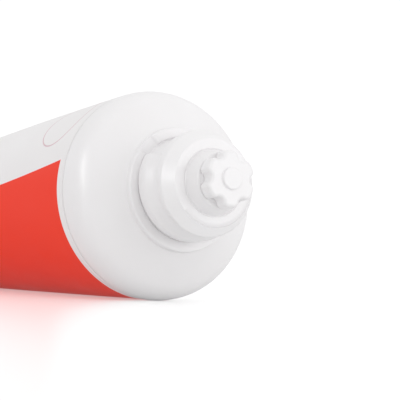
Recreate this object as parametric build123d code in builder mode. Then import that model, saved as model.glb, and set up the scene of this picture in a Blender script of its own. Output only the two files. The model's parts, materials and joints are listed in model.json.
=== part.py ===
"""A full toothpaste tube lying on its side, with its cap off.

Two pieces: the filled sleeve, round at the head and sealed flat at the tail, and the
moulded head, which is the shoulder, the screw neck, the nozzle and the star-shaped
seal that twists off the nozzle.

Millimetres. +X runs from the tail to the head, +Y across, +Z up. The origin is on the
table, below the middle of the tube's box.
"""

import os
from math import atan2, cos, log, pi, radians, sin, tan

from build123d import *

os.makedirs("parts", exist_ok=True)

# Sleeve
sleeve_diameter = 38.0
sleeve_length = 125.0
sleeve_belly = 2.3
sleeve_settling = 0.6
sleeve_sections = 9
tail_seal_length = 7.0
tail_seal_thickness = 0.8
tail_seal_overlap = 2.0

# Shoulder
shoulder_land = 1.0
shoulder_radius = 5.6
shoulder_slope = 36.0

# Bead ring round the foot of the neck, cut by two notches
bead_radius = 11.35
bead_width = 1.9
bead_height = 1.2
bead_edge_radius = 0.4
bead_inner_edge_radius = 0.15
bead_groove_depth = 0.3
bead_notch_width = 3.4
bead_notch_angle = 132.0

# Screw neck
neck_radius = 8.6
neck_length = 9.9
neck_foot_width = 0.6
neck_foot_height = 2.6
neck_face_radius = 8.1
neck_edge_radius = 0.4

# Thread: right-hand, one start, with a blunt beginning
thread_radius = 9.9
thread_lead = 6.3
thread_crest_width = 1.8
thread_back_width = 0.8
thread_front_width = 2.0
thread_root_sink = 0.3
thread_start_height = 0.7
thread_start_angle = 138.0
thread_turn = 600.0
thread_runout = 1.9

# Nozzle
nozzle_base_radius = 5.85
nozzle_tip_radius = 5.2
nozzle_length = 3.0
nozzle_edge_radius = 0.3

# Twist-off seal: a six-lobed star on a thin web, with a small disc on its face
web_radius = 4.4
web_length = 0.2
star_radius = 5.1
star_lobes = 6
star_notch_radius = 1.05
star_notch_angle = 57.0
star_lobe_corner_radius = 0.9
star_length = 2.8
star_edge_radius = 0.6
disc_radius = 2.0
disc_height = 0.5

# The sleeve's two ends. The tail is as wide as half the round end's girth.
round_radius = sleeve_diameter / 2
tail_half_thickness = tail_seal_thickness / 2
tail_half_width = pi * round_radius / 2
# Both ends lie on the table, so the head points up a little.
tilt = atan2(round_radius - tail_half_thickness, sleeve_length)

# Heights along the head's axis, from the sleeve's round end
shoulder_corner = shoulder_land + shoulder_radius * tan(radians(90 - shoulder_slope) / 2)
bead_foot = shoulder_corner + (round_radius - bead_radius) * tan(radians(shoulder_slope))
bead_top = bead_foot + bead_height
groove_floor = bead_top - bead_groove_depth
neck_face = bead_top + neck_length
nozzle_tip = neck_face + nozzle_length
star_back = nozzle_tip + web_length
star_face = star_back + star_length
disc_face = star_face + disc_height

# The round end's centre, with the tube's box centred on X = 0
reach_forward = disc_face * cos(tilt) + disc_radius * sin(tilt)
reach_back = sleeve_length * cos(tilt) + tail_seal_length
head_x = (reach_back - reach_forward) / 2
head_z = round_radius * cos(tilt)

# The head's own frame: local Z out along the nozzle, local Y up
head_plane = Plane(
    origin=(head_x, 0, head_z),
    x_dir=(0, 1, 0),
    z_dir=(cos(tilt), 0, sin(tilt)),
)
head_axis = Axis(head_plane.origin, head_plane.z_dir)
# Half sections are drawn here: local X is the height along the head's axis, local Y the radius.
section_plane = Plane(origin=head_plane.origin, x_dir=head_plane.z_dir, z_dir=(0, -1, 0))


def fullness(distance):
    """How full the sleeve is at a distance behind the round end: 0 at its ends, 1 halfway."""
    return sin(pi * distance / sleeve_length)


def sleeve_half_thickness(distance):
    """The sleeve's half thickness at a distance behind the round end."""
    taper = (round_radius - tail_half_thickness) * distance / sleeve_length
    return round_radius - taper + sleeve_belly * fullness(distance)


def sleeve_plane(distance):
    """The plane of a section, raised so that the full sleeve only settles a little."""
    lift = (sleeve_belly - sleeve_settling) * fullness(distance)
    return Plane(
        origin=head_plane.from_local_coords((0, lift, -distance)),
        x_dir=head_plane.x_dir,
        z_dir=head_plane.z_dir,
    )


def sleeve_half_width(half_thickness):
    """The half width that keeps the sleeve's girth the same everywhere."""
    power = log(2) / log(pi / 2)
    return (tail_half_width**power - half_thickness**power) ** (1 / power)


def corner_at(sketch, height, radius):
    """The corner of a half section that is nearest to a height and a radius."""
    return sketch.vertices().sort_by_distance((height, radius, 0))[0]


with BuildPart() as sleeve:
    for index in range(sleeve_sections):
        distance = sleeve_length * index / (sleeve_sections - 1)
        half_thickness = sleeve_half_thickness(distance)
        with BuildSketch(sleeve_plane(distance)):
            Ellipse(sleeve_half_width(half_thickness), half_thickness)
    loft()
    # The full sleeve lies flat along its underside.
    split(bisect_by=Plane.XY, keep=Keep.TOP)
    tail_front = head_x - sleeve_length * cos(tilt) + tail_seal_overlap
    tail_width = 2 * sleeve_half_width(sleeve_half_thickness(sleeve_length - tail_seal_overlap))
    with BuildSketch(Plane.XY):
        with Locations((tail_front, 0)):
            Rectangle(
                tail_seal_length + tail_seal_overlap,
                tail_width,
                align=(Align.MAX, Align.CENTER),
            )
    extrude(amount=tail_seal_thickness)

# The thread's helix starts on its own plane's local X.
start = radians(thread_start_angle)
thread_plane = Plane(
    origin=head_plane.offset(bead_top + thread_start_height).origin,
    x_dir=head_plane.x_dir * cos(start) + head_plane.y_dir * sin(start),
    z_dir=head_plane.z_dir,
)
thread_path = thread_plane.location * Helix(
    pitch=thread_lead,
    height=thread_lead * thread_turn / 360,
    radius=neck_radius,
)
thread_section_plane = Plane(
    origin=thread_path @ 0,
    x_dir=thread_plane.x_dir,
    z_dir=thread_path % 0,
)

with BuildPart() as head:
    # Shoulder, bead ring and neck, whose front is still long
    with BuildSketch(section_plane) as half_section:
        with BuildLine():
            Polyline(
                (0, 0),
                (0, round_radius),
                (shoulder_corner, round_radius),
                (bead_foot, bead_radius),
                (bead_top, bead_radius),
                (bead_top, bead_radius - bead_width),
                (groove_floor, bead_radius - bead_width),
                (groove_floor, neck_radius + neck_foot_width),
                (groove_floor + neck_foot_height, neck_radius),
                (nozzle_tip, neck_radius),
                (nozzle_tip, 0),
                close=True,
            )
        make_face()
        fillet(corner_at(half_section, shoulder_corner, round_radius), shoulder_radius)
        fillet(corner_at(half_section, bead_top, bead_radius), bead_edge_radius)
        fillet(corner_at(half_section, bead_top, bead_radius - bead_width), bead_inner_edge_radius)
    revolve(axis=head_axis)

    # Notches across the bead ring, opposite each other
    with BuildSketch(head_plane.offset(groove_floor)):
        with PolarLocations(bead_radius, 2, start_angle=bead_notch_angle):
            Rectangle(2 * (bead_width + bead_groove_depth), bead_notch_width)
    extrude(amount=bead_height + bead_groove_depth, mode=Mode.SUBTRACT)

    # Thread
    with BuildSketch(thread_section_plane):
        with BuildLine():
            Polyline(
                (-thread_root_sink, -thread_crest_width / 2 - thread_front_width),
                (-thread_root_sink, thread_crest_width / 2 + thread_back_width),
                (thread_radius - neck_radius, thread_crest_width / 2),
                (thread_radius - neck_radius, -thread_crest_width / 2),
                close=True,
            )
        make_face()
    sweep(path=thread_path, is_frenet=True)

    # The neck's front face and the cone round it, in which the thread runs out
    cone_radius = 2 * thread_radius - neck_face_radius
    with BuildSketch(section_plane) as front_cut:
        with BuildLine():
            Polyline(
                (neck_face - 2 * thread_runout, cone_radius),
                (neck_face, neck_face_radius),
                (neck_face, 0),
                (nozzle_tip + thread_lead, 0),
                (nozzle_tip + thread_lead, cone_radius),
                close=True,
            )
        make_face()
        fillet(corner_at(front_cut, neck_face, neck_face_radius), neck_edge_radius)
    revolve(axis=head_axis, mode=Mode.SUBTRACT)

    # Nozzle, and the web that holds the star
    with BuildSketch(section_plane) as nozzle_section:
        with BuildLine():
            Polyline(
                (groove_floor, 0),
                (groove_floor, nozzle_base_radius),
                (neck_face, nozzle_base_radius),
                (nozzle_tip, nozzle_tip_radius),
                (nozzle_tip, web_radius),
                (star_back + star_length / 2, web_radius),
                (star_back + star_length / 2, 0),
                close=True,
            )
        make_face()
        fillet(corner_at(nozzle_section, nozzle_tip, nozzle_tip_radius), nozzle_edge_radius)
    revolve(axis=head_axis)

    # Star
    with BuildSketch(head_plane.offset(star_back)) as star:
        Circle(star_radius)
        with PolarLocations(star_radius, star_lobes, start_angle=star_notch_angle):
            Circle(star_notch_radius, mode=Mode.SUBTRACT)
        fillet(star.vertices(), star_lobe_corner_radius)
    extrude(amount=star_length)
    star_rim = head.faces().filter_by(head_axis).sort_by(head_axis)[-1].outer_wire().edges()
    fillet(star_rim, star_edge_radius)
    with BuildSketch(head_plane.offset(star_face)):
        Circle(disc_radius)
    extrude(amount=disc_height)

sleeve.part.label = "filled_sleeve"
head.part.label = "head"
export_step(sleeve.part, "parts/filled_sleeve.step")
export_step(head.part, "parts/head.step")
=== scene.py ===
"""A full toothpaste tube lying on its side with its cap off, as it looks in a white studio.

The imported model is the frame. Two meshes stand for its two nodes: the printed laminate sleeve
with its sealed tail, and the white head with its shoulder, bead ring, thread, nozzle and
star-shaped seal. Metres, +X from the tail to the head, +Z up.
"""

import json
import math

import bpy
import numpy as np
from mathutils import Matrix, Vector, noise


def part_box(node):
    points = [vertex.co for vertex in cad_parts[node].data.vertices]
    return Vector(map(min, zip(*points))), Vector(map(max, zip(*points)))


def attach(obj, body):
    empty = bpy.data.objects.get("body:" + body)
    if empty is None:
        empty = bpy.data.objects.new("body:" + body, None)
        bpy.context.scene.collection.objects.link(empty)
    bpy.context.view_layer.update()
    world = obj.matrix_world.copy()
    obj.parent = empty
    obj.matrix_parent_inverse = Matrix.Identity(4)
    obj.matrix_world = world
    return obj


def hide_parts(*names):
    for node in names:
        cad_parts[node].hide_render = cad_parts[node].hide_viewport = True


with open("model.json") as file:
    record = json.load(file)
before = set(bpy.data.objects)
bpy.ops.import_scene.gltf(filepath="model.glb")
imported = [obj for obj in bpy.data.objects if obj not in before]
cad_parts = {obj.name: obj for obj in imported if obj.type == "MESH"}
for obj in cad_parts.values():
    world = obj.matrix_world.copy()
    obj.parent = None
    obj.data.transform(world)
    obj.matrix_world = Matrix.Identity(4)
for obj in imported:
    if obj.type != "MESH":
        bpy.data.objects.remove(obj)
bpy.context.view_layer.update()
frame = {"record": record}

# Sleeve
tail_seal_length = 0.007
tail_half_thickness = 0.0004
sleeve_belly = 0.0023
sleeve_settling = 0.0006
fin_start_share = 0.1
crimp_pitch = 0.001
crimp_depth = 0.00013
crimp_margin = 0.0008
tail_corner_radius = 0.0015
ground_clearance = 0.00002
ground_rounding = 0.0005

# The laminate's lap along the back
lap_height = 0.00012
lap_width = 0.0022
lap_steepness = 1.5
lap_girth_share = 0.69
lap_onset = 0.003

# Dents, which grow towards the tail: depths, shares of the sleeve's length, waves per metre
dent_least = 0.00005
dent_growth = 0.0005
dent_growth_start = 0.3
dent_growth_span = 0.6
dent_onset_rate = 6
dent_fade_start = 0.93
dent_fade_span = 0.07
dent_waves = (45, 70, 70)
dent_ripples = 170
dent_ripple_share = 0.25
dent_ground_height = 0.003

# Shoulder and bead ring
shoulder_land = 0.001
shoulder_radius = 0.0056
shoulder_slope = math.radians(36)
bead_radius = 0.01135
bead_width = 0.0019
bead_height = 0.0012
bead_edge_radius = 0.0004
bead_inner_edge_radius = 0.00015
bead_groove_depth = 0.0003
bead_notch_width = 0.0034
bead_notch_angle = math.radians(132)
bead_notch_edge = 0.0003
bead_notch_depth_share = 0.98
root_radius = 0.00012

# Neck and thread
neck_radius = 0.0086
neck_length = 0.0099
neck_face_radius = 0.0081
neck_edge_radius = 0.0004
neck_foot_width = 0.0006
neck_foot_height = 0.0026
neck_foot_rounding = 0.003
thread_radius = 0.0099
thread_lead = 0.0063
thread_crest_width = 0.0018
thread_back_width = 0.0008
thread_front_width = 0.0020
thread_start_height = 0.0007
thread_start_angle = math.radians(138)
thread_start_ramp = math.radians(4)
thread_turns = 2
thread_runout = 0.0019
thread_clearance = 0.00005
thread_edge_share = 0.2

# Nozzle, and the star on its thin web
nozzle_base_radius = 0.00585
nozzle_tip_radius = 0.0052
nozzle_length = 0.003
nozzle_edge_radius = 0.0003
nozzle_groove_width = 0.0004
nozzle_groove_depth = 0.00025
web_radius = 0.0044
web_length = 0.0002
star_radius = 0.0051
star_lobes = 6
star_notch_radius = 0.00105
star_notch_angle = math.radians(57)
star_lobe_corner_radius = 0.0009
star_length = 0.0028
star_edge_radius = 0.0006
star_back_edge_radius = 0.0002
disc_radius = 0.002
disc_height = 0.0005
disc_edge_radius = 0.0002
disc_middle_radius = 0.00025

# Mesh spacing
sleeve_columns = 320
sleeve_row_spacing = 0.0006
outline_points_per_column = 8
fin_row_spacing = 0.00012
fin_bend_points = 24
head_columns = 384
broad_spacing = 0.0004
fine_spacing = 0.00015
nozzle_spacing = 1.5 * fine_spacing
least_arc_steps = 4
least_gap_share = 0.01
star_notch_share = 0.32
star_corner_share = 0.38
star_rim_rings = 7
web_rings = 7
star_side_rings = 6
star_face_rings = 9

# Print: the colour field, and the oval outline near the shoulder
panel_top = 0.02295
panel_sweep = 0.012
panel_sweep_length = 0.052
panel_past_underside = 0.004
panel_front = 0.0016
panel_tail_margin = 0.006
print_edge = 0.00008
oval_round_place = 0.013
oval_round_size = 0.007
oval_along_place = 0.0075
oval_along_size = 0.0048
oval_line_share = 0.03
oval_line_core_share = 0.01

# Colours and surfaces: each white and red varies softly between two tones
pure_white = (1, 1, 1, 1)
sleeve_whites = ((0.89, 0.87, 0.875, 1), (0.92, 0.905, 0.91, 1))
sleeve_reds = ((0.97, 0.028, 0.002, 1), (1.0, 0.035, 0.005, 1))
sleeve_pink = (0.72, 0.50, 0.55, 1)
sleeve_patch_scale = 60.0
sleeve_refraction = 1.42
sleeve_roughness = (0.30, 0.40)
sleeve_grain_height = 0.000005
head_whites = ((0.90, 0.885, 0.89, 1), (0.93, 0.92, 0.93, 1))
head_patch_scale = 90.0
head_refraction = 1.5
head_roughness = (0.29, 0.37)
head_grain_height = 0.000006
patch_low = 0.2
patch_high = 0.8
gloss_patch_scale = 140.0
grain_scale = 1400.0
grain_detail = 3.0
swell_scale = 160.0
swell_weight = 3.0

# Floor
floor_radius = 6.0
floor_sides = 96
floor_grey = (0.6, 0.6, 0.6, 1)
floor_refraction = 1.45
floor_gloss_share = 0.7
floor_gloss_roughness = 0.24
floor_glow = 0.18
floor_glow_seen = 0.17

# Room and lights: the room's strength at the horizon, overhead and as the camera sees it
room_level = 0.79
room_above = 0.97
room_seen = 1.06
key_way = (0.85, 0.45, 0.22)
key_distance = 1.2
key_size = 0.6
key_power = 2.0
strip_low = (0.47, -0.852, 0.229)
strip_high = (0.06, -0.78, 0.62)
strip_width = 0.06
strip_power = 2.5

# Camera
camera_azimuth = math.radians(57.2)
camera_elevation = math.radians(0.7)
camera_roll = math.radians(2.07)
camera_distance = 0.901
camera_lens = 447.6
camera_clip_start = 0.05
camera_clip_end = 50.0
aim_across = 0.0087
aim_height = 0.01844

# The head's own frame, from the record's mount on the neck and the nodes' boxes, and what follows
neck_mount = next(m for m in frame["record"]["mounts"] if m["name"] == "neck_thread")
sleeve_low, sleeve_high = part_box("filled_sleeve")
head_low, head_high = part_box("head")
round_radius = (head_high.y - head_low.y) / 2
tilt = math.atan2(neck_mount["axis"][2], neck_mount["axis"][0])
right = np.array((0, 1, 0))
up = np.array((-math.sin(tilt), 0, math.cos(tilt)))
out = np.array((math.cos(tilt), 0, math.sin(tilt)))
round_centre = np.array((sleeve_high.x, 0, 0)) + round_radius * np.array((-out[2], 0, out[0]))
sleeve_length = (round_radius - tail_half_thickness) / math.tan(tilt)
girth = 2 * math.pi * round_radius
panel_bottom = girth / 2 + panel_past_underside
panel_back = sleeve_length - panel_tail_margin

# Heights along the head's axis, from the sleeve's round end
shoulder_corner = shoulder_land + shoulder_radius * math.tan((math.pi / 2 - shoulder_slope) / 2)
bead_foot = shoulder_corner + (round_radius - bead_radius) * math.tan(shoulder_slope)
bead_top = bead_foot + bead_height
groove_floor = bead_top - bead_groove_depth
neck_face = bead_top + neck_length
nozzle_tip = neck_face + nozzle_length
star_back = nozzle_tip + web_length
star_face = star_back + star_length
disc_face = star_face + disc_height


def smooth(share):
    """0 below 0, 1 above 1, and an even slope between."""
    share = np.clip(share, 0, 1)
    return share * share * (3 - 2 * share)


def soft_least(a, b, rounding):
    """The smaller of two values, with the corner between them rounded."""
    near = np.clip(rounding - np.abs(a - b), 0, None)
    return np.minimum(a, b) - near * near / (4 * rounding)


# Meshes made of rings


def ring_mesh(name, rings):
    """A closed mesh through rings of equal count, with a flat cap across each end ring."""
    rings = np.array(rings)
    rows, columns = rings.shape[:2]
    at = np.arange(rows * columns).reshape(rows, columns)
    beside = np.roll(at, -1, axis=1)
    walls = np.stack((at[:-1], at[1:], beside[1:], beside[:-1]), axis=-1).reshape(-1, 4)
    side = np.arange(-columns // 4, columns // 4)
    across = columns // 2 - side
    caps = [
        np.stack([ring[k % columns] for k in (side, across, across - 1, side + 1)], axis=-1)
        for ring in (at[0], at[-1])
    ]
    caps[0] = caps[0][:, ::-1]
    faces = [
        [k for k, before in zip(face, np.roll(face, 1)) if k != before]
        for face in np.concatenate((walls, *caps)).tolist()
    ]
    mesh = bpy.data.meshes.new(name)
    mesh.from_pydata(rings.reshape(-1, 3).tolist(), [], [face for face in faces if len(face) > 2])
    # Only the walls are shaded round, so that they stay even right up to the caps.
    mesh.polygons.foreach_set("use_smooth", np.arange(len(mesh.polygons)) < len(walls))
    piece = bpy.data.objects.new(name, mesh)
    bpy.context.scene.collection.objects.link(piece)
    return piece


def evenly_along(outline, count):
    """count points at equal steps along a closed outline, from its first point."""
    closed = np.vstack((outline, outline[:1]))
    run = np.concatenate(([0], np.cumsum(np.linalg.norm(np.diff(closed, axis=0), axis=1))))
    wanted = np.arange(count) * run[-1] / count
    return np.stack([np.interp(wanted, run, closed[:, axis]) for axis in range(3)], axis=-1)


# Sleeve


def sleeve_sizes(distance):
    """Half width, half thickness and lift of the sleeve at a distance behind its round end."""
    fullness = math.sin(math.pi * distance / sleeve_length)
    taper = (round_radius - tail_half_thickness) * distance / sleeve_length
    half_thickness = round_radius - taper + sleeve_belly * fullness
    power = math.log(2) / math.log(math.pi / 2)
    half_width = ((girth / 4) ** power - half_thickness**power) ** (1 / power)
    return half_width, half_thickness, (sleeve_belly - sleeve_settling) * fullness


def on_the_ground(points):
    """The points with none below the ground, and a soft edge to the flat underside."""
    height = points[:, 2] - ground_clearance
    points[:, 2] = ground_clearance - soft_least(-height, 0 * height, ground_rounding)
    return points


def sleeve_outline(distance):
    """The sleeve's section: from its top towards -Y, under and back."""
    half_width, half_thickness, lift = sleeve_sizes(distance)
    count = outline_points_per_column * sleeve_columns
    turn = np.linspace(0, 2 * math.pi, count, endpoint=False)
    across = -half_width * np.sin(turn)
    height = half_thickness * np.cos(turn) + lift
    return on_the_ground(
        round_centre + np.outer(across, right) + np.outer(height, up) - distance * out
    )


def fin_outline(x, half_width, thickness):
    """A section of the sealed tail: a thin slot on the ground, from its top towards -Y."""
    edge = thickness / 2
    flat = half_width - edge
    bend = np.linspace(0, math.pi, fin_bend_points)
    across = np.concatenate(([0], -flat - edge * np.sin(bend), flat + edge * np.sin(bend)))
    height = np.concatenate(([edge], edge * np.cos(bend), -edge * np.cos(bend))) + edge
    return np.stack((np.full(across.shape, x), across, height + ground_clearance), axis=-1)


def dented(ring, distance):
    """The ring with the slight unevenness of a filled laminate tube, more towards its tail."""
    share = distance / sleeve_length
    depth = dent_least + dent_growth * smooth((share - dent_growth_start) / dent_growth_span)
    depth *= math.sin(math.pi * min(1, dent_onset_rate * share) / 2)
    depth *= 1 - smooth((share - dent_fade_start) / dent_fade_span)
    middle = ring.mean(axis=0)
    outward = ring - middle
    outward /= np.linalg.norm(outward, axis=1)[:, None]
    waves = [
        noise.noise(Vector(point * dent_waves))
        + dent_ripple_share * noise.noise(Vector(point * dent_ripples))
        for point in ring
    ]
    off_ground = smooth(ring[:, 2] / dent_ground_height)
    return ring + outward * (np.array(waves) * depth * off_ground)[:, None]


def lapped(ring, lap):
    """The ring with the laminate's overlap standing out along its back."""
    outward = ring - ring.mean(axis=0)
    outward /= np.linalg.norm(outward, axis=1)[:, None]
    place = np.arange(len(ring)) / len(ring)
    from_lap = np.abs(place - lap_girth_share) * girth
    step = smooth((lap_width - from_lap) / lap_width * lap_steepness)
    return ring + outward * (lap * lap_height * step)[:, None]


def build_sleeve():
    """The round part of the sleeve, and then the crimped seal, which lies on the ground."""
    last = sleeve_length - tail_seal_length / 2
    rings = []
    for distance in np.linspace(0, last, round(last / sleeve_row_spacing)):
        ring = evenly_along(sleeve_outline(distance), sleeve_columns)
        rings.append(lapped(dented(ring, distance), smooth(distance / lap_onset)))
    half_width = sleeve_sizes(last)[0]
    front = round_centre[0] - sleeve_length * out[0] + tail_seal_length * fin_start_share
    back = sleeve_low.x
    for x in np.linspace(front, back, round((front - back) / fin_row_spacing)):
        crimp = 0.5 + 0.5 * math.cos(2 * math.pi * (front - x) / crimp_pitch)
        pressed = smooth((front - x) / crimp_margin) * smooth((x - back) / crimp_margin)
        thickness = 2 * tail_half_thickness - crimp_depth * crimp * pressed
        corner = max(0, tail_corner_radius - (x - back))
        width = half_width - tail_corner_radius + math.sqrt(tail_corner_radius**2 - corner**2)
        rings.append(evenly_along(fin_outline(x, width, thickness), sleeve_columns))
    sleeve = ring_mesh("printed_sleeve", rings)
    lay_out_print(sleeve, rings)
    return sleeve


def lay_out_print(sleeve, rings):
    """Stores each point's place on the flat laminate: X round the girth, Y back from the round end."""
    rings = np.array(rings)
    along = -(rings.mean(axis=1) - round_centre) @ out
    rounds = np.arange(sleeve_columns) * girth / sleeve_columns
    flat = np.zeros(rings.shape)
    flat[:, :, 0] = np.minimum(rounds, girth - rounds) * np.where(rounds < girth / 2, 1, -1)
    flat[:, :, 1] = along[:, None]
    place = sleeve.data.attributes.new("laminate", "FLOAT_VECTOR", "POINT")
    place.data.foreach_set("vector", flat.astype(np.float32).ravel())


# Head


def rounded_line(corners, spacing):
    """(height, radius) points along straight runs, each corner rounded by its third number."""
    places = [np.array(corner[:2]) for corner in corners]
    points = [places[0]]
    for before, corner, after, rounding in zip(
        places, places[1:], places[2:], [corner[2] for corner in corners[1:-1]]
    ):
        back = (before - corner) / np.linalg.norm(before - corner)
        ahead = (after - corner) / np.linalg.norm(after - corner)
        half_angle = math.acos(back @ ahead) / 2
        middle = (back + ahead) / np.linalg.norm(back + ahead)
        centre = corner + middle * rounding / math.sin(half_angle)
        reach = rounding / math.tan(half_angle)
        spokes = (corner + back * reach - centre, corner + ahead * reach - centre)
        turn = math.pi - 2 * half_angle
        count = max(least_arc_steps, math.ceil(rounding * turn / spacing))
        for share in np.linspace(0, 1, count + 1):
            spoke = spokes[0] * math.sin((1 - share) * turn) + spokes[1] * math.sin(share * turn)
            points.append(centre + spoke / math.sin(turn))
    points.append(places[-1])
    filled = [points[0]]
    for point in points[1:]:
        gap = np.linalg.norm(point - filled[-1])
        if gap > least_gap_share * spacing:
            steps = max(1, math.ceil(gap / spacing))
            filled += list(np.linspace(filled[-1], point, steps + 1)[1:])
    return np.array(filled)


def thread_standing(heights, angles):
    """How far the thread stands out of the neck at each height and angle."""
    angle = np.mod(angles - thread_start_angle, 2 * math.pi)
    standing = 0 * heights
    for turn in range(thread_turns):
        wound = angle + 2 * math.pi * turn
        middle = bead_top + thread_start_height + thread_lead * wound / (2 * math.pi)
        behind = (heights - middle + thread_crest_width / 2) / thread_back_width
        ahead = (middle + thread_crest_width / 2 - heights) / thread_front_width
        rise = soft_least(1 + np.minimum(behind, ahead), 1, thread_edge_share)
        rise = -soft_least(-rise, 0, thread_edge_share)
        begun = smooth(wound / thread_start_ramp)
        standing = np.maximum(standing, rise * begun)
    return (thread_radius - neck_radius) * standing


def revolved(line, angles, threaded=False, notched=False):
    """Rings (across, up, out) of a half section turned about the axis, with thread or notches."""
    heights = line[:, :1] + 0 * angles
    radii = line[:, 1:] + 0 * angles
    if threaded:
        cone = neck_face_radius + (neck_face - heights) * (
            (thread_radius - neck_face_radius) / thread_runout
        )
        above_bead = smooth((heights - bead_top) / thread_clearance - 1)
        beside_bead = bead_radius - bead_width - thread_clearance - radii
        room = np.minimum(cone - radii, beside_bead + above_bead * thread_radius)
        room = np.clip(room, 0, None)
        standing = thread_standing(heights, angles) - np.clip(radii - neck_radius, 0, None)
        standing = soft_least(standing, room, root_radius)
        radii = radii + np.clip(standing, 0, None)
    if notched:
        for notch_angle in (bead_notch_angle, bead_notch_angle + math.pi):
            off = np.abs(radii * np.sin(angles - notch_angle))
            inside = smooth((bead_notch_width / 2 - off) / bead_notch_edge + 0.5)
            inside = inside * (np.cos(angles - notch_angle) > 0)
            depth = bead_notch_depth_share * np.clip(heights - groove_floor, 0, None)
            heights = heights - inside * depth
    return np.stack((radii * np.cos(angles), radii * np.sin(angles), heights), axis=-1)


def star_outline(inset):
    """The star's rim, inset evenly: an outer arc, a corner and a notch for each half lobe."""
    corner_centre = star_radius - star_lobe_corner_radius
    span = star_lobe_corner_radius + star_notch_radius
    corner_angle = math.acos(
        (corner_centre**2 + star_radius**2 - span**2) / (2 * corner_centre * star_radius)
    )
    notch_half = math.acos(
        (star_radius**2 + span**2 - corner_centre**2) / (2 * star_radius * span)
    )
    per_half = head_columns // star_lobes // 2
    notch_steps = round(star_notch_share * per_half)
    corner_steps = round(star_corner_share * per_half)
    outer_steps = per_half - notch_steps - corner_steps
    half = []
    for step in range(notch_steps):
        turn = math.pi - notch_half * step / notch_steps
        radius = star_notch_radius + inset
        half.append((star_radius + radius * math.cos(turn), radius * math.sin(turn)))
    middle = (corner_centre * math.cos(corner_angle), corner_centre * math.sin(corner_angle))
    for step in range(corner_steps):
        turn = -notch_half + (corner_angle + notch_half) * step / corner_steps
        radius = star_lobe_corner_radius - inset
        half.append((middle[0] + radius * math.cos(turn), middle[1] + radius * math.sin(turn)))
    for step in range(outer_steps + 1):
        turn = corner_angle + (math.pi / star_lobes - corner_angle) * step / outer_steps
        radius = star_radius - inset
        half.append((radius * math.cos(turn), radius * math.sin(turn)))
    half = np.array(half) @ (1, 1j)
    lobe = np.concatenate((half[:-1], np.conj(half[:0:-1]) * np.exp(2j * math.pi / star_lobes)))
    turns = star_notch_angle + 2 * math.pi * np.arange(star_lobes) / star_lobes
    return np.concatenate([lobe * np.exp(1j * turn) for turn in turns])


def flat_ring(outline, height):
    """A ring (across, up, out) at one height, from an outline of complex numbers."""
    return np.stack((outline.real, outline.imag, 0 * outline.real + height), axis=-1)


def between(first, last, steps):
    """Rings that lead from one ring to another, without the first."""
    return [first + (last - first) * step / steps for step in range(1, steps + 1)]


def head_rings(angles):
    """The rings of the turned part: the shoulder, the bead ring, the neck and the nozzle."""
    shoulder = rounded_line(
        [
            (0, round_radius),
            (shoulder_corner, round_radius, shoulder_radius),
            (bead_foot - root_radius, bead_radius + root_radius / math.tan(shoulder_slope)),
        ],
        broad_spacing,
    )
    bead = rounded_line(
        [
            tuple(shoulder[-1]),
            (bead_foot, bead_radius, root_radius),
            (bead_top, bead_radius, bead_edge_radius),
            (bead_top, bead_radius - bead_width, bead_inner_edge_radius),
            (groove_floor, bead_radius - bead_width, root_radius),
            (groove_floor, neck_radius + neck_foot_width + root_radius),
        ],
        fine_spacing,
    )
    # The cone in which the thread runs out meets the neck this far behind its face.
    chamfer = (neck_radius - neck_face_radius) * thread_runout / (thread_radius - neck_face_radius)
    neck = rounded_line(
        [
            tuple(bead[-1]),
            (groove_floor, neck_radius + neck_foot_width, root_radius),
            (groove_floor + neck_foot_height, neck_radius, neck_foot_rounding),
            (neck_face - chamfer, neck_radius, root_radius),
            (neck_face, neck_face_radius, neck_edge_radius),
            (neck_face, neck_face_radius - 2 * neck_edge_radius),
        ],
        fine_spacing,
    )
    groove_middle = nozzle_base_radius + nozzle_groove_width / 2
    nozzle = rounded_line(
        [
            tuple(neck[-1]),
            (neck_face, nozzle_base_radius + nozzle_groove_width, root_radius / 2),
            (neck_face - nozzle_groove_depth, groove_middle, root_radius / 2),
            (neck_face, nozzle_base_radius, root_radius / 2),
            (nozzle_tip, nozzle_tip_radius, nozzle_edge_radius),
            (nozzle_tip, web_radius, root_radius / 2),
            (star_back - root_radius / 2, web_radius),
        ],
        nozzle_spacing,
    )
    return [
        *revolved(shoulder, angles),
        *revolved(bead[1:], angles, notched=True),
        *revolved(neck[1:], angles, threaded=True),
        *revolved(nozzle[1:], angles),
    ]


def star_rings(angles):
    """The rings from the web's end over the star's back, side and face to the disc's middle."""
    circle = np.exp(1j * angles)
    rings = [flat_ring(circle * (web_radius + root_radius / 2), star_back)]
    back_rim = flat_ring(star_outline(star_back_edge_radius), star_back)
    rings += between(rings[-1], back_rim, web_rings)
    rings += back_rim_rings(star_back_edge_radius, star_back)
    front = front_rim_rings(star_edge_radius, star_face)
    rings += between(rings[-1], front[0], star_side_rings)
    rings += front[1:]
    disc = rounded_line(
        [
            (star_face, disc_radius + 2 * disc_edge_radius),
            (star_face, disc_radius, disc_edge_radius / 2),
            (disc_face, disc_radius, disc_edge_radius),
            (disc_face, disc_middle_radius),
        ],
        nozzle_spacing,
    )
    disc_rings = revolved(disc, angles)
    rings += between(rings[-1], disc_rings[0], star_face_rings)
    rings += list(disc_rings[1:])
    return rings


def build_head():
    """The whole head: the turned rings, and the star's rings on the same columns."""
    angles = star_notch_angle + 2 * math.pi * np.arange(head_columns) / head_columns
    local = np.array([*head_rings(angles), *star_rings(angles)])
    placed = round_centre + local @ np.stack((right, up, out))
    return ring_mesh("moulded_head", placed[:, ::-1])


def back_rim_rings(radius, height):
    """The star's rounded edge from its back out to its side, without the first ring."""
    rings = []
    for turn in np.linspace(0, math.pi / 2, star_rim_rings)[1:]:
        outline = star_outline(radius * (1 - math.sin(turn)))
        rings.append(flat_ring(outline, height + radius * (1 - math.cos(turn))))
    return rings


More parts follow.
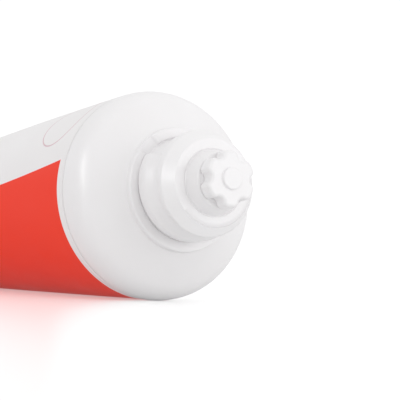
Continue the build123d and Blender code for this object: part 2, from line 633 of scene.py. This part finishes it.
def front_rim_rings(radius, height):
    """The star's rounded edge from its side in to its front."""
    rings = []
    for turn in np.linspace(0, math.pi / 2, star_rim_rings):
        outline = star_outline(radius * (1 - math.cos(turn)))
        rings.append(flat_ring(outline, height - radius * (1 - math.sin(turn))))
    return rings


# Materials


def add_node(tree, kind, inputs=None, **settings):
    """A node with its settings and inputs; an input is a value or another node's output."""
    node = tree.nodes.new(kind)
    for name, value in settings.items():
        setattr(node, name, value)
    for name, value in (inputs or {}).items():
        if isinstance(value, bpy.types.NodeSocket):
            tree.links.new(value, node.inputs[name])
        else:
            node.inputs[name].default_value = value
    return node


def calculate(tree, operation, *values):
    """The result of a calculation with values or other nodes' outputs."""
    node = add_node(tree, "ShaderNodeMath", dict(enumerate(values)), operation=operation)
    return node.outputs[0]


def mixed(tree, share, first, last):
    """A colour between two colours."""
    node = add_node(tree, "ShaderNodeMix", data_type="RGBA")
    for socket, value in zip((node.inputs[0], node.inputs[6], node.inputs[7]), (share, first, last)):
        if isinstance(value, bpy.types.NodeSocket):
            tree.links.new(value, socket)
        else:
            socket.default_value = value
    return node.outputs[2]


def ranged(tree, value, low, high, new_low=0.0, new_high=1.0, held=True):
    """A value carried from one range to another, and held inside it unless told otherwise."""
    inputs = {"Value": value, "From Min": low, "From Max": high, "To Min": new_low, "To Max": new_high}
    return add_node(tree, "ShaderNodeMapRange", inputs, clamp=held).outputs[0]


def varied(tree, patches, tones):
    """A colour that varies between two tones with soft patches."""
    return mixed(tree, ranged(tree, patches, patch_low, patch_high), *tones)


def new_material(name):
    """A material with its node tree, its main shader and the place on the piece."""
    material = bpy.data.materials.new(name)
    material.use_nodes = True
    tree = material.node_tree
    place = add_node(tree, "ShaderNodeTexCoord").outputs["Object"]
    return material, tree, tree.nodes["Principled BSDF"], place


def noise_value(tree, place, scale, detail=2.0):
    """A soft random value round 0.5 at each place."""
    inputs = {"Vector": place, "Scale": scale, "Detail": detail}
    return add_node(tree, "ShaderNodeTexNoise", inputs).outputs[0]


def roughen(tree, shader, place, roughnesses, grain_height):
    """Roughness that varies softly between two values, and a faint grain."""
    patches = noise_value(tree, place, gloss_patch_scale)
    roughness = ranged(tree, patches, patch_low, patch_high, *roughnesses, held=False)
    tree.links.new(roughness, shader.inputs["Roughness"])
    grain = noise_value(tree, place, grain_scale, grain_detail)
    swell = noise_value(tree, place, swell_scale)
    height = calculate(tree, "MULTIPLY_ADD", swell, swell_weight, grain)
    relief = {"Height": height, "Distance": grain_height, "Strength": 1.0}
    bump = add_node(tree, "ShaderNodeBump", relief)
    tree.links.new(bump.outputs[0], shader.inputs["Normal"])


def head_material():
    """White moulded plastic."""
    material, tree, shader, place = new_material("white_polyethylene")
    white = varied(tree, noise_value(tree, place, head_patch_scale), head_whites)
    tree.links.new(white, shader.inputs["Base Color"])
    shader.inputs["IOR"].default_value = head_refraction
    roughen(tree, shader, place, head_roughness, head_grain_height)
    return material


def sleeve_material():
    """White laminate with its print, which follows each point's place on the flat laminate."""
    material, tree, shader, place = new_material("printed_laminate")
    laminate = add_node(tree, "ShaderNodeAttribute", attribute_name="laminate").outputs["Vector"]
    flat = add_node(tree, "ShaderNodeSeparateXYZ", {"Vector": laminate})
    rounds, along = flat.outputs["X"], flat.outputs["Y"]
    patches = noise_value(tree, place, sleeve_patch_scale)
    white = varied(tree, patches, sleeve_whites)
    # The colour field starts square behind the shoulder, and its upper edge sweeps down.
    wrapped = calculate(tree, "MODULO", calculate(tree, "ADD", rounds, girth), girth)
    faded = calculate(tree, "EXPONENT", calculate(tree, "DIVIDE", along, -panel_sweep_length))
    swept = calculate(tree, "MULTIPLY", calculate(tree, "SUBTRACT", 1.0, faded), panel_sweep)
    under_edge = calculate(tree, "SUBTRACT", calculate(tree, "SUBTRACT", wrapped, panel_top), swept)
    below = ranged(tree, under_edge, 0.0, print_edge)
    above = ranged(tree, wrapped, panel_bottom + print_edge, panel_bottom)
    within = calculate(tree, "MULTIPLY", below, above)
    begun = ranged(tree, along, panel_front, panel_front + print_edge)
    ended = ranged(tree, along, panel_back + print_edge, panel_back)
    panel = calculate(tree, "MULTIPLY", calculate(tree, "MULTIPLY", within, begun), ended)
    red = varied(tree, patches, sleeve_reds)
    lined = mixed(tree, oval_line(tree, wrapped, along), white, sleeve_pink)
    tree.links.new(mixed(tree, panel, lined, red), shader.inputs["Base Color"])
    shader.inputs["IOR"].default_value = sleeve_refraction
    roughen(tree, shader, place, sleeve_roughness, sleeve_grain_height)
    return material


def oval_line(tree, rounds, along):
    """A thin oval outline: 1 on its line."""
    across = calculate(tree, "SUBTRACT", rounds, oval_round_place)
    across = calculate(tree, "DIVIDE", across, oval_round_size)
    down = calculate(tree, "SUBTRACT", along, oval_along_place)
    down = calculate(tree, "DIVIDE", down, oval_along_size)
    squares = calculate(tree, "MULTIPLY_ADD", across, across, calculate(tree, "MULTIPLY", down, down))
    off = calculate(tree, "ABSOLUTE", calculate(tree, "SUBTRACT", calculate(tree, "SQRT", squares), 1.0))
    return ranged(tree, off, oval_line_share, oval_line_core_share)


def finish_piece(piece, node, material):
    """The piece stands for a node, rides on the one body and has its material."""
    piece.data.materials.append(material)
    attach(piece, "root")
    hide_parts(node)


# Studio


def build_floor():
    """The white table, matt with a blurred gloss that grows at a low angle."""
    mesh = bpy.data.meshes.new("floor")
    turns = np.linspace(0, 2 * math.pi, floor_sides, endpoint=False)
    rim = [(floor_radius * math.cos(turn), floor_radius * math.sin(turn), 0) for turn in turns]
    mesh.from_pydata(rim, [], [list(range(len(rim)))])
    floor = bpy.data.objects.new("floor", mesh)
    bpy.context.scene.collection.objects.link(floor)
    material, tree, shader, _ = new_material("white_table")
    tree.nodes.remove(shader)
    matt = add_node(tree, "ShaderNodeBsdfDiffuse", {"Color": floor_grey})
    gloss = {"Color": pure_white, "Roughness": floor_gloss_roughness}
    polish = add_node(tree, "ShaderNodeBsdfGlossy", gloss)
    grazing = add_node(tree, "ShaderNodeFresnel", {"IOR": floor_refraction}).outputs[0]
    shine = calculate(tree, "MULTIPLY", grazing, floor_gloss_share)
    both = add_node(tree, "ShaderNodeMixShader", {0: shine, 1: matt.outputs[0], 2: polish.outputs[0]})
    # The white table is lit through from below, so that it stays as white as the room.
    seen = add_node(tree, "ShaderNodeLightPath").outputs["Is Camera Ray"]
    glow = calculate(tree, "MULTIPLY_ADD", seen, floor_glow_seen, floor_glow)
    lit = add_node(tree, "ShaderNodeEmission", {"Color": pure_white, "Strength": glow})
    whole = add_node(tree, "ShaderNodeAddShader", {0: both.outputs[0], 1: lit.outputs[0]})
    tree.links.new(whole.outputs[0], tree.nodes["Material Output"].inputs[0])
    mesh.materials.append(material)


def add_lamp(name, width, height, power):
    """A rectangular light that is still to be placed."""
    light = bpy.data.lights.new(name, "AREA")
    light.shape = "RECTANGLE"
    light.size = width
    light.size_y = height
    light.energy = power
    lamp = bpy.data.objects.new(name, light)
    bpy.context.scene.collection.objects.link(lamp)
    return lamp


def add_key(aim):
    """A soft box in front of the head and to one side."""
    lamp = add_lamp("key", key_size, key_size, key_power)
    place = aim + key_distance * Vector(key_way).normalized()
    lamp.location = place
    lamp.rotation_mode = "QUATERNION"
    lamp.rotation_quaternion = (aim - place).to_track_quat("-Z", "Y")


def add_strip(aim):
    """A narrow light beside the tube, whose reflection runs down the rounded shoulder."""
    low = aim + Vector(strip_low)
    high = aim + Vector(strip_high)
    lamp = add_lamp("strip", strip_width, (high - low).length, strip_power)
    lamp.visible_diffuse = False
    middle = (low + high) / 2
    back = (middle - aim).normalized()
    tall = (high - low).normalized()
    turned = Matrix((tall.cross(back), tall, back)).transposed().to_4x4()
    lamp.matrix_world = Matrix.Translation(middle) @ turned


def build_room():
    """A white room, brighter overhead, and brighter still where the camera sees it."""
    world = bpy.data.worlds.new("white_room")
    world.use_nodes = True
    tree = world.node_tree
    background = tree.nodes["Background"]
    background.inputs["Color"].default_value = pure_white
    way = add_node(tree, "ShaderNodeTexCoord").outputs["Generated"]
    height = add_node(tree, "ShaderNodeSeparateXYZ", {"Vector": way}).outputs["Z"]
    room = ranged(tree, height, 0.0, 1.0, room_level, room_above)
    seen = add_node(tree, "ShaderNodeLightPath").outputs["Is Camera Ray"]
    strength = calculate(tree, "MAXIMUM", room, calculate(tree, "MULTIPLY", seen, room_seen))
    tree.links.new(strength, background.inputs["Strength"])
    bpy.context.scene.world = world


def light_studio():
    """The white room with its two lights."""
    bpy.context.scene.view_settings.view_transform = "Standard"
    build_room()
    aim = Vector(round_centre)
    add_key(aim)
    add_strip(aim)


def place_camera():
    """A long lens near the ground that looks at the head from its front quarter."""
    back = Vector(
        (
            math.sin(camera_azimuth) * math.cos(camera_elevation),
            -math.cos(camera_azimuth) * math.cos(camera_elevation),
            math.sin(camera_elevation),
        )
    )
    level = Vector((math.cos(camera_azimuth), math.sin(camera_azimuth), 0))
    upright = back.cross(level)
    across = level * math.cos(camera_roll) + upright * math.sin(camera_roll)
    above = upright * math.cos(camera_roll) - level * math.sin(camera_roll)
    aim = Vector((round_centre[0], 0, aim_height)) + level * aim_across
    data = bpy.data.cameras.new("camera")
    data.lens = camera_lens
    data.clip_start = camera_clip_start
    data.clip_end = camera_clip_end
    camera = bpy.data.objects.new("camera", data)
    camera.matrix_world = Matrix.Translation(aim + back * camera_distance) @ Matrix(
        (across, above, back)
    ).transposed().to_4x4()
    bpy.context.scene.collection.objects.link(camera)
    bpy.context.scene.camera = camera


place_camera()
light_studio()
build_floor()
finish_piece(build_sleeve(), "filled_sleeve", sleeve_material())
finish_piece(build_head(), "head", head_material())
